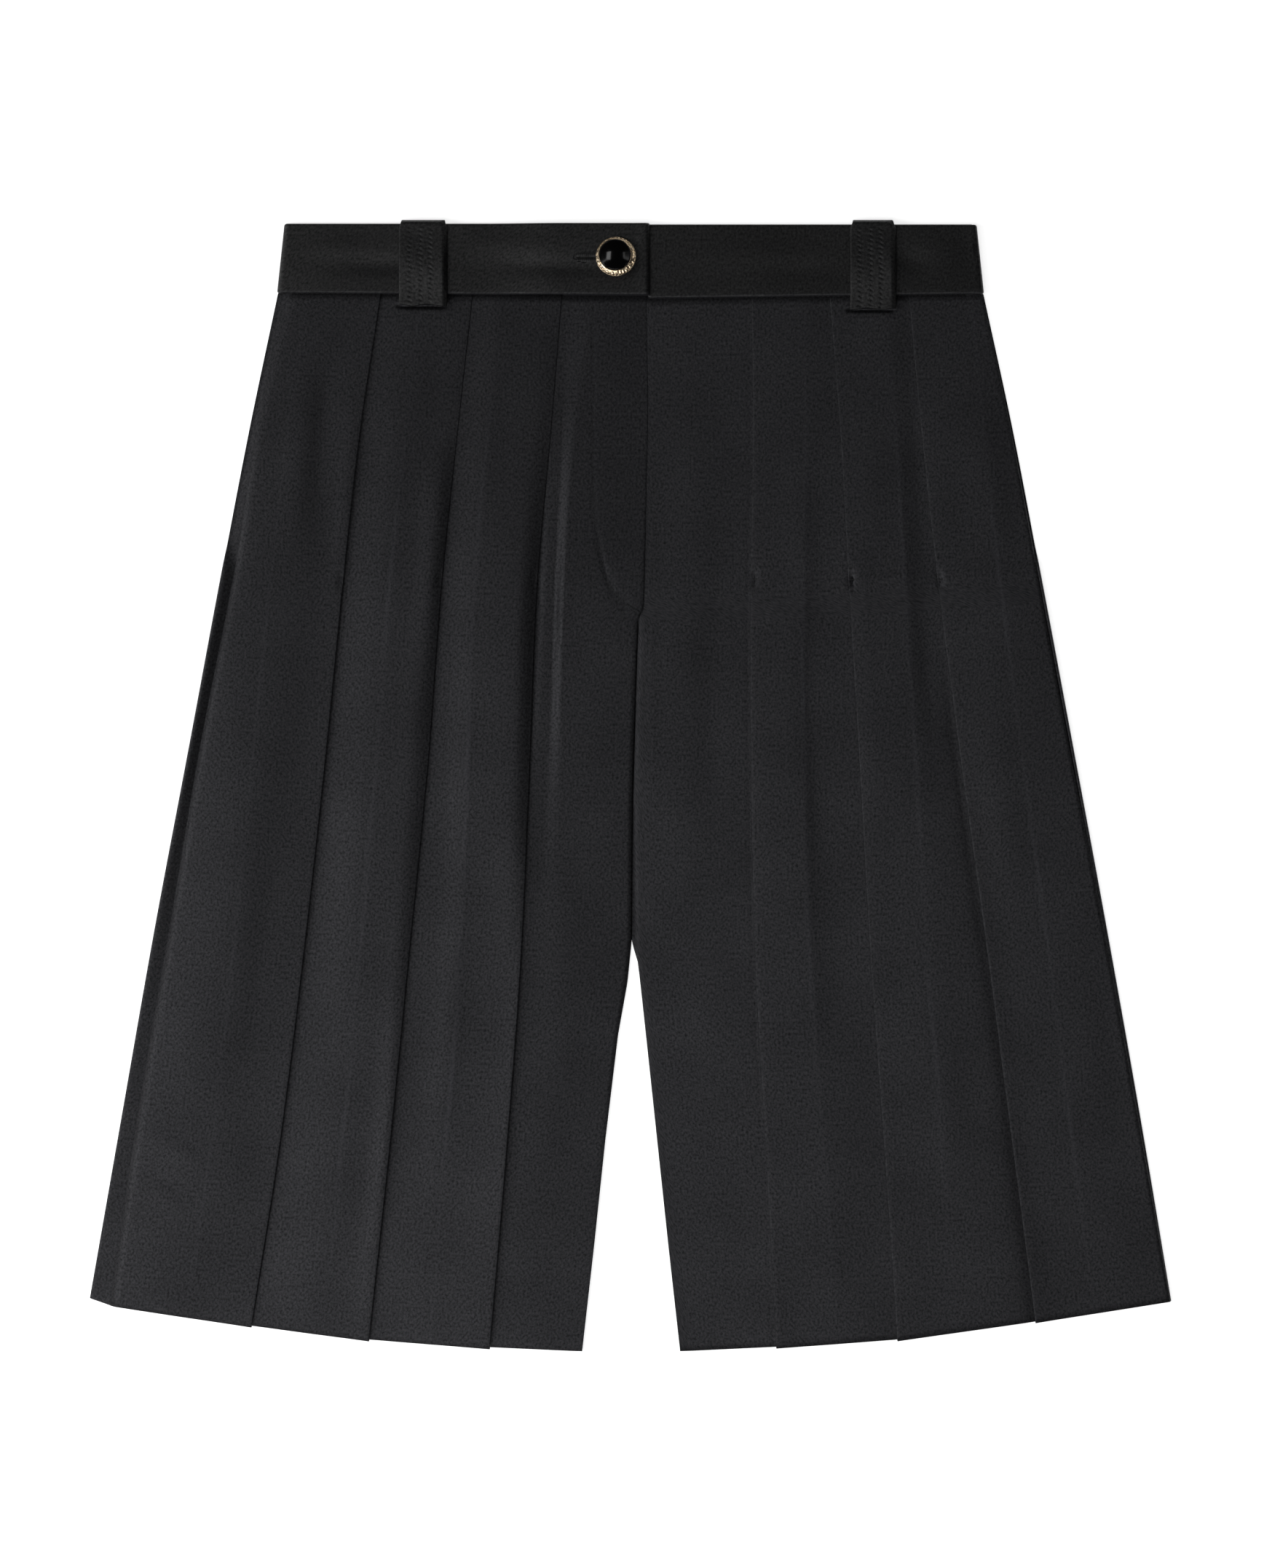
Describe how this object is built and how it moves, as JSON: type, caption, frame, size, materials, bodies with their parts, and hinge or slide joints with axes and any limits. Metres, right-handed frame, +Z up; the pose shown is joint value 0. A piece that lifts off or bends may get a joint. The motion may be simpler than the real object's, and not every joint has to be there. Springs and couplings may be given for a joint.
{
  "type": "pleated shorts laid flat",
  "caption": "Wide-legged shorts with knife pleats, laid flat with the front up: a waistband with belt loops and a rimmed button, a fly, flared pleated legs and a pleat open at the side.",
  "frame": {"origin": "middle of the bounding box's underside, on the surface that the shorts lie on", "axes": "+X towards the wearer's left leg, +Y towards the waist, +Z up off the surface, out of the front of the shorts"},
  "size_m": [0.55, 0.5754, 0.0128],
  "materials": {
    "front_satin": "black cotton satin twill, soft sheen",
    "back_satin": "black cotton satin twill, soft sheen",
    "band_satin": "black cotton satin twill, interlined",
    "loop_satin": "black cotton satin twill, cover-stitched",
    "bezel_metal": "gold-toned, hammered rim",
    "cabochon_resin": "polished black dome"
  },
  "bodies": {
    "root": {"front_leg_right": "front_satin", "front_leg_left": "front_satin", "back_leg_right": "back_satin", "back_leg_left": "back_satin", "waistband": "band_satin", "belt_loop_right": "loop_satin", "belt_loop_left": "loop_satin", "button_bezel": "bezel_metal", "button_cabochon": "cabochon_resin"}
  },
  "joints": []
}
